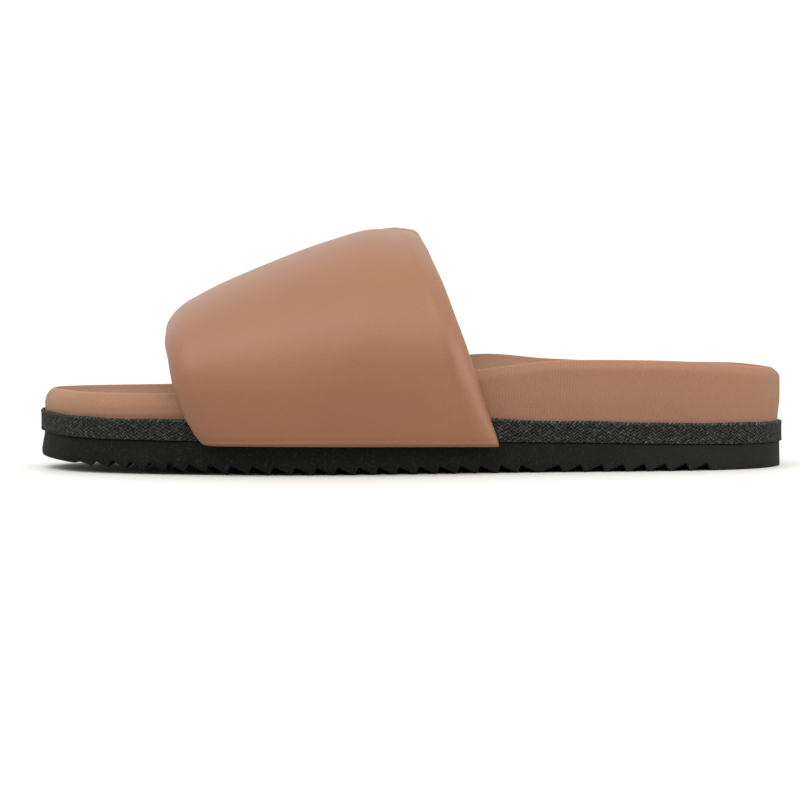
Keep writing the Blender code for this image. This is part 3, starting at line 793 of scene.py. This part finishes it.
def build_outsole():
    """The outsole as sections across the shoe, one at each bend of its lugs."""
    s = sizes()
    last = Last()
    stations = Lugs(last).stations()
    first, final = stations[0][0], stations[-1][0]
    reach = s.outsole_step + s.outsole_flare
    toe, heel = last.toe - reach, -last.toe + reach
    turn = np.linspace(0, math.pi / 2, 40)
    lead = [(toe + (first - toe) * (1 - math.cos(a)), 0.0) for a in turn[1:-1]]
    tail = [(heel - (heel - final) * (1 - math.cos(a)), 0.0) for a in turn[-2:0:-1]]
    line = [(toe, 0.0)] + lead + stations + tail + [(heel, 0.0)]
    xs, depths = (np.array(column) for column in zip(*line))
    toe_tip = s.toe_round * tip_lift((xs - toe) / s.toe_round)
    heel_tip = s.outsole_round * tip_lift((heel - xs) / s.outsole_round)
    low = last.ground(xs) + depths + toe_tip + heel_tip
    toe_in = toe - (last.toe - last.sole_step(MEDIAL)[0])
    heel_in = heel - (-last.toe + s.outsole_step)
    by_toe, by_heel = (1 - ease(away / TIP_BLEND) for away in (xs - toe, heel - xs))
    upper_xs = xs - toe_in * by_toe - heel_in * by_heel
    lower_xs = xs - s.toe_push * by_toe
    top = last.seat(upper_xs)
    foot = {side: last.across(side, xs, reach) for side in (LATERAL, MEDIAL)}
    head = {side: last.across(side, upper_xs, last.sole_step(side)) for side in (LATERAL, MEDIAL)}
    rounder = (s.toe_under - s.outsole_round) * (1 - ease((last.share(xs) - TOE_EDGE_END) / TOE_EDGE_FADE))
    corner = np.minimum(s.outsole_round + rounder, (foot[MEDIAL] - foot[LATERAL]) / 4)
    rows = []

    def across_row(near, far, places, heights, parts):
        """Lines along the shoe, at parts of the way from one side to the other."""
        for part in parts:
            rows.append(np.stack([places, near + (far - near) * part, heights], 1))

    def corner_row(side, angle):
        rows.append(np.stack([lower_xs, foot[side] - side * corner * (1 - math.sin(angle)),
                              low + corner * (1 - math.cos(angle))], 1))

    def wall_row(side, part):
        rows.append(np.stack([lower_xs + (upper_xs - lower_xs) * part, foot[side] + (head[side] - foot[side]) * part,
                              low + corner + (top - low - corner) * part], 1))

    bends = np.linspace(0, math.pi / 2, 5)[1:]
    wall = (0.35, 0.7, 0.985, 1.0)
    across_row(foot[LATERAL] + corner, foot[MEDIAL] - corner, lower_xs, low, np.linspace(0, 1, 10))
    for angle in bends:
        corner_row(MEDIAL, angle)
    for part in wall:
        wall_row(MEDIAL, part)
    across_row(head[MEDIAL], head[LATERAL], upper_xs, top, np.linspace(0, 1, 10)[1:])
    for part in wall[-2::-1]:
        wall_row(LATERAL, part)
    for angle in bends[::-1]:
        corner_row(LATERAL, angle)
    piece = mesh_from_grid("outsole_ripple", np.stack(rows, 1), capped=True)
    return settle(piece, "outsole", rubber_finish(), sharp=38)


def build_footbed():
    """The covered footbed: straight wall behind the tape, soft wall, ridged rim, hollow and dished floor."""
    s = sizes()
    last = Last()
    half = 230
    ring, normals, _ = last.ring(half_count=half)
    xs = ring[:, 0]
    at = last.share(xs)
    medial = np.arange(len(ring)) < half
    rims = np.where(medial, last.rim(xs, MEDIAL), last.rim(xs, LATERAL)) - s.rim_ridge
    bulge = s.footbed_bulge * read(BED, "bulge", at)
    wide = s.edge_run * read(BED, "run", at)
    drop = s.edge_drop * read(BED, "drop", at)
    base = last.seat(xs) + s.clearance
    tape_top = base + s.tape_height
    shoulder = rims - drop
    crest = ring + normals * (bulge - wide)[:, None]
    slope = RIM_SLOPE * ease(at / ROUND_TOE)
    rings, cloth, fold = [], [], []

    def ridge(off_crest):
        """The fine ridge's height at distances from the rim's crest."""
        return s.rim_ridge * bell(off_crest, RIDGE_REACH)

    def level(step, heights, off_fold=NO_FOLD):
        """A ring of the wall; the cover's own coordinates unfold outwards from the crest."""
        flat = ring + normals * np.broadcast_to(step, len(ring))[:, None]
        rings.append(np.column_stack([flat, heights]))
        cloth.append(crest + normals * (rims - heights + wide)[:, None])
        fold.append(np.broadcast_to(off_fold, len(ring)))

    for part in UNDER_RINGS:
        flat = last.inward(ring, part)
        rings.append(np.column_stack([flat, last.seat(flat[:, 0]) + s.clearance]))
        cloth.append(flat)
        fold.append(np.full(len(ring), NO_FOLD))
    for part in WALL_RINGS:
        level(0.0, base + (tape_top - base) * part)
    for t in np.linspace(0, 1, 9):
        level(bulge * np.sin(math.pi / 2 * ease(t * BULGE_PACE)), tape_top + (shoulder - tape_top) * t)
    for angle in np.linspace(0, math.pi / 2, 20)[1:]:
        rise = math.sin(angle)
        lean = slope * rise**RIM_BEND + (1 - slope) * (1 - math.cos(angle))
        off_fold = np.hypot(wide * (1 - lean), drop * (1 - rise))
        level(bulge - wide * lean, rims - drop * (1 - rise) + ridge(off_fold), -off_fold)
    for part in BED_RINGS:
        inner = last.inward(crest, part)
        floor = last.seat(inner[:, 0]) + s.clearance + s.footbed_height * read(BED, "floor", last.share(inner[:, 0]))
        off_crest = np.linalg.norm(crest - inner, axis=1)
        faded = 1 - HOLLOW_FADE * ease((off_crest - HOLLOW_FADE_FROM) / HOLLOW_FADE_RUN)
        hollow = s.rim_hollow * (1 - np.exp(-off_crest / HOLLOW_RUN)) * faded
        heights = floor + (rims - floor) * ease(part**DISH_POWER) - hollow + ridge(off_crest)
        rings.append(np.column_stack([inner, heights]))
        cloth.append(inner)
        fold.append(off_crest)
    cloth = [np.vstack([places, places[:1]]) for places in cloth]
    piece = mesh_from_grid("footbed_cover", np.stack(rings), uv=np.stack(cloth), capped=True)
    # The fold attribute, the distance from the rim's crest, places the cover's painted shade in the hollow and its
    # painted highlight on the ridge.
    layer = piece.data.attributes.new("fold", "FLOAT", "POINT")
    layer.data.foreach_set("value", np.concatenate(fold).astype(np.float32))
    return settle(piece, "footbed", footbed_finish())


def build_tape():
    """The woven tape round the footbed's wall, with thick soft edges and a slightly wavy top."""
    s = sizes()
    last = Last()
    ring, normals, run = last.ring(half_count=520)
    base = last.seat(ring[:, 0]) + s.clearance
    phase = run[:-1]
    wave = 0.00012 * np.sin(phase * 95) + 0.00008 * np.sin(phase * 233 + 1.0)
    wave += TAPE_BUMP * bell(ring[:, 0] - TAPE_BUMP_AT, TAPE_BUMP_REACH)
    inner, outer, high = s.clearance, last.proud, s.tape_height
    corner = [(outer + TAPE_WELT - TAPE_ROUND * (1 - math.sin(angle)), TAPE_ROUND * (1 - math.cos(angle)))
              for angle in np.linspace(0, math.pi / 2, 5)]
    face = [(outer + TAPE_WELT * abs(2 * part - 1)**6, TAPE_ROUND + (high - 2 * TAPE_ROUND) * part)
            for part in np.linspace(0, 1, 13)[1:-1]]
    top = [(step, high - rise) for step, rise in reversed(corner)]
    section = [(inner, TAPE_BACK), *corner, *face, *top, (inner, high - TAPE_BACK), (inner, TAPE_BACK)]
    rings = [np.column_stack([ring + normals * step, base + rise + wave * (rise / high)]) for step, rise in section]
    uvs = [np.column_stack([run, np.full(len(run), rise)]) for _, rise in section]
    piece = mesh_from_grid("rand_tape_woven", np.stack(rings), uv=np.stack(uvs))
    weld = piece.modifiers.new("weld", "WELD")
    weld.merge_threshold = TAPE_WELD
    return settle(piece, "rand_tape", tape_finish())


class Arch:
    """Inside of the strap: a straight side by the footbed, then a dome over the foot."""
    POWER = 2.2  # 2 is an ellipse, more is squarer
    SEGMENTS = 160

    def __init__(self, last):
        s = sizes()
        self.last = last
        self.inside = last.proud + s.strap_off_tape

    def edge_x(self, edge, rise):
        """Place along the shoe of the front or rear edge."""
        s = sizes()
        crest = -s.length / 2 + s.strap_reach + (s.strap_width if edge == "rear" else 0.0)
        return crest + s.strap_width * read(BAND, edge, rise)

    def paths(self, x, side):
        """Across and up along the arch at each x, from its foot to the crest."""
        s = sizes()
        foot = self.last.across(side, x, self.inside)
        straight = self.last.rim(x, side) + s.rim_free
        along = (x + s.length / 2 - s.strap_reach) / s.strap_width
        crest = s.instep_height * read(INSTEP, "height", along) - s.strap_thickness
        angle = np.linspace(0, math.pi / 2, self.SEGMENTS)[None, :]
        out = np.cos(angle)**(2 / self.POWER)
        out[:, -1] = 0.0
        up = np.sin(angle)**(2 / self.POWER)
        y = s.crest_shift + (foot[:, None] - s.crest_shift) * out
        z = straight[:, None] + (crest - straight)[:, None] * up
        low = (self.last.seat(x) - s.strap_hang)[:, None]
        return np.hstack([foot[:, None], y]), np.hstack([low, z])

    def place(self, x, rise, side):
        """Points and outward normals at shares of the way from the foot to the crest."""
        y, z = self.paths(x, side)
        run = np.cumsum(np.hypot(np.diff(y), np.diff(z)), axis=1)
        run = np.hstack([np.zeros((len(x), 1)), run])
        goal = run[:, -1] * rise
        k = np.clip((run < goal[:, None]).sum(1) - 1, 0, run.shape[1] - 2)
        row = np.arange(len(x))
        part = (goal - run[row, k]) / (run[row, k + 1] - run[row, k])
        y_at = y[row, k] + (y[row, k + 1] - y[row, k]) * part
        z_at = z[row, k] + (z[row, k + 1] - z[row, k]) * part
        dy, dz = np.gradient(y, axis=1), np.gradient(z, axis=1)
        run_y = dy[row, k] * (1 - part) + dy[row, k + 1] * part
        run_z = dz[row, k] * (1 - part) + dz[row, k + 1] * part
        if rise >= 1.0:
            run_y, run_z = np.full(len(x), -float(side)), np.zeros(len(x))
        long = np.hypot(run_y, run_z)
        return y_at, z_at, run_z / long * side, -run_y / long * side


def build_strap():
    """The padded band over the instep."""
    s = sizes()
    arch = Arch(Last())
    rises = np.concatenate([np.linspace(0, FOOT_SHARE, 14)[:-1], np.linspace(FOOT_SHARE, 0.07, 8)[:-1],
                            np.linspace(0.07, 0.88, 84)[:-1], np.linspace(0.88, 1.0, 28)])
    roll = np.linspace(0, math.pi / 2, 15)
    swell = np.concatenate([np.sin(roll), np.ones(FACE_STEPS - 2), np.sin(roll[::-1])])
    rings = []
    for side in (LATERAL, MEDIAL):
        half = []
        for rise in rises:
            foot = float(tip_lift(rise / FOOT_SHARE))
            front = arch.edge_x("front", rise) + s.foot_round * foot
            rear = arch.edge_x("rear", rise) - s.foot_round * FOOT_REAR * foot
            tight = s.strap_roll * (1 - ROLL_TIGHT * float(ease((rise - ROLL_TIGHT_FROM) / ROLL_TIGHT_RUN)))
            x = np.concatenate([front + s.strap_roll * (1 - np.cos(roll)),
                                np.linspace(front + s.strap_roll, rear - tight, FACE_STEPS)[1:-1],
                                rear - tight * (1 - np.cos(roll[::-1]))])
            y, z, out_y, out_z = arch.place(x, rise, side)
            wall = s.strap_thickness * read(BAND, "wall", max(rise, FOOT_SHARE))
            shaped = relief(rear - x, x - front, rise, side) * swell**0.4
            outer = wall * (1 + swell) / 2 * (1 - FOOT_THIN * foot) + shaped
            inner = wall * (1 - swell) / 2 - s.hug * swell * within(rise, HUG)
            outside = np.column_stack([x, y + out_y * outer, z + out_z * outer])
            inside = np.column_stack([x, y + out_y * inner, z + out_z * inner])
            half.append(np.vstack([outside, inside[-2:0:-1]]))
        rings += half if side == LATERAL else half[-2::-1]
    piece = mesh_from_grid("strap_padded", np.stack(rings), capped=True)
    settle(piece, "strap", leather_finish())
    return piece


def lip_share(rise, side):
    """How far the rear edge stands up, past the crest on the big toe's side."""
    if side == LATERAL:
        return 0.0
    beyond = 1 - rise
    return float(ease((beyond - LIP_START) / LIP_RUN) * bell(max(beyond - LIP_FULL, 0), LIP_REACH))


def relief(to_rear, to_front, rise, side):
    """Soft troughs and ridges of the strap's outer face."""
    s = sizes()
    dent = CREST_DENT * bell(1 - rise - CREST_DENT_AT, CREST_DENT_REACH)
    lip = ease((s.lip_length - to_rear) / LIP_RAMP) * (s.lip_height * lip_share(rise, side) - dent)
    ridges = sum(ridge.height * bell(away - ridge.inside, ridge.reach)
                 for away, found in ((to_rear, REAR_RIDGES), (to_front, FRONT_RIDGES)) for ridge in found)
    hem = bell(rise - FOOT_SHARE * 0.9, FOOT_SHARE * 0.25) * ease(to_front / HEM_RUN) * bell(to_front, HEM_REACH)
    return lip + s.edge_ridge * within(rise, RIDGED) * ridges - HEM_DENT * hem


def build_stage():
    """Floor, light and camera."""
    scene = bpy.context.scene
    scene.view_settings.view_transform = "Standard"
    mesh = bpy.data.meshes.new("floor")
    corners = [(x * FLOOR_REACH, y * FLOOR_REACH, 0) for x, y in ((-1, -1), (1, -1), (1, 1), (-1, 1))]
    mesh.from_pydata(corners, [], [(0, 1, 2, 3)])
    mesh.materials.append(floor_finish())
    floor = bpy.data.objects.new("floor", mesh)
    scene.collection.objects.link(floor)

    world = bpy.data.worlds.new("studio")
    world.use_nodes = True
    scene.world = world
    sky = Graph(world.node_tree)
    background = world.node_tree.nodes["Background"]
    background.inputs["Color"].default_value = (1.0, 0.998, 0.975, 1.0)
    _, _, up = sky.parts(sky.coordinates("Generated"))
    sky.feed(background.inputs["Strength"], HORIZON + up.clamped() * ZENITH_GAIN)

    warm = (1.0, 0.975, 0.92)
    add_light("overhead", "SUN", (0.0, -0.84, 1.0), energy=1.3, angle=math.radians(55), color=warm)
    add_light("toe_box", "AREA", (-0.75, -0.40, 0.80), energy=4.1, size=0.8, color=warm)
    add_light("heel_box", "AREA", (1.03, -0.44, 0.24), energy=5.0, size=0.5, color=warm)

    view = bpy.data.cameras.new("camera")
    view.lens = 154.7
    view.sensor_width = 36
    view.clip_end = 30
    camera = bpy.data.objects.new("camera", view)
    camera.location = (-0.00384, -1.2964, 0.080)
    down, roll = math.radians(2.43), math.radians(0.27)
    camera.rotation_mode = "QUATERNION"
    camera.rotation_quaternion = Quaternion((1, 0, 0), math.pi / 2 - down) @ Quaternion((0, 0, 1), -roll)
    scene.collection.objects.link(camera)
    scene.camera = camera


def add_light(name, kind, place, **settings):
    """A light that shines on the sandal from a place."""
    light = bpy.data.lights.new(name, kind)
    for key, value in settings.items():
        setattr(light, key, value)
    lamp = bpy.data.objects.new(name, light)
    lamp.location = place
    lamp.rotation_euler = (AIM - Vector(place)).to_track_quat("-Z", "Y").to_euler()
    bpy.context.scene.collection.objects.link(lamp)


class SANDAL_OT_outsole(bpy.types.Operator):
    """Adds the ripple outsole"""
    bl_idname = "sandal.outsole"
    bl_label = "Outsole"

    def execute(self, context):
        build_outsole()
        return {"FINISHED"}


class SANDAL_OT_footbed(bpy.types.Operator):
    """Adds the covered footbed"""
    bl_idname = "sandal.footbed"
    bl_label = "Footbed"

    def execute(self, context):
        build_footbed()
        return {"FINISHED"}


class SANDAL_OT_tape(bpy.types.Operator):
    """Adds the woven tape round the footbed"""
    bl_idname = "sandal.tape"
    bl_label = "Tape"

    def execute(self, context):
        build_tape()
        return {"FINISHED"}


class SANDAL_OT_strap(bpy.types.Operator):
    """Adds the padded strap"""
    bl_idname = "sandal.strap"
    bl_label = "Strap"

    def execute(self, context):
        build_strap()
        return {"FINISHED"}


class SANDAL_OT_stage(bpy.types.Operator):
    """Adds the floor, the light and the camera"""
    bl_idname = "sandal.stage"
    bl_label = "Stage"

    def execute(self, context):
        build_stage()
        return {"FINISHED"}


class SANDAL_PT_panel(bpy.types.Panel):
    """Sandal pieces, sizes and colours"""
    bl_idname = "SANDAL_PT_panel"
    bl_label = "Slide Sandal"
    bl_space_type = "VIEW_3D"
    bl_region_type = "UI"
    bl_category = "Sandal"

    def draw(self, context):
        layout = self.layout
        for operator in OPERATORS:
            layout.operator(operator.bl_idname)
        for group in (sizes(), colours()):
            for name in group.bl_rna.properties.keys():
                if name not in ("rna_type", "name"):
                    layout.prop(group, name)


OPERATORS = (SANDAL_OT_outsole, SANDAL_OT_footbed, SANDAL_OT_tape, SANDAL_OT_strap, SANDAL_OT_stage)
CLASSES = (SandalSizes, SandalColours, *OPERATORS, SANDAL_PT_panel)


def register():
    for item in CLASSES:
        bpy.utils.register_class(item)
    bpy.types.Scene.sandal_sizes = PointerProperty(type=SandalSizes)
    bpy.types.Scene.sandal_colours = PointerProperty(type=SandalColours)


def unregister():
    del bpy.types.Scene.sandal_colours
    del bpy.types.Scene.sandal_sizes
    for item in reversed(CLASSES):
        bpy.utils.unregister_class(item)


def main():
    """Registers the sizes and colours, and builds every piece and the stage."""
    register()
    bpy.ops.sandal.outsole()
    bpy.ops.sandal.footbed()
    bpy.ops.sandal.tape()
    bpy.ops.sandal.strap()
    bpy.ops.sandal.stage()


if __name__ == "__main__":
    main()
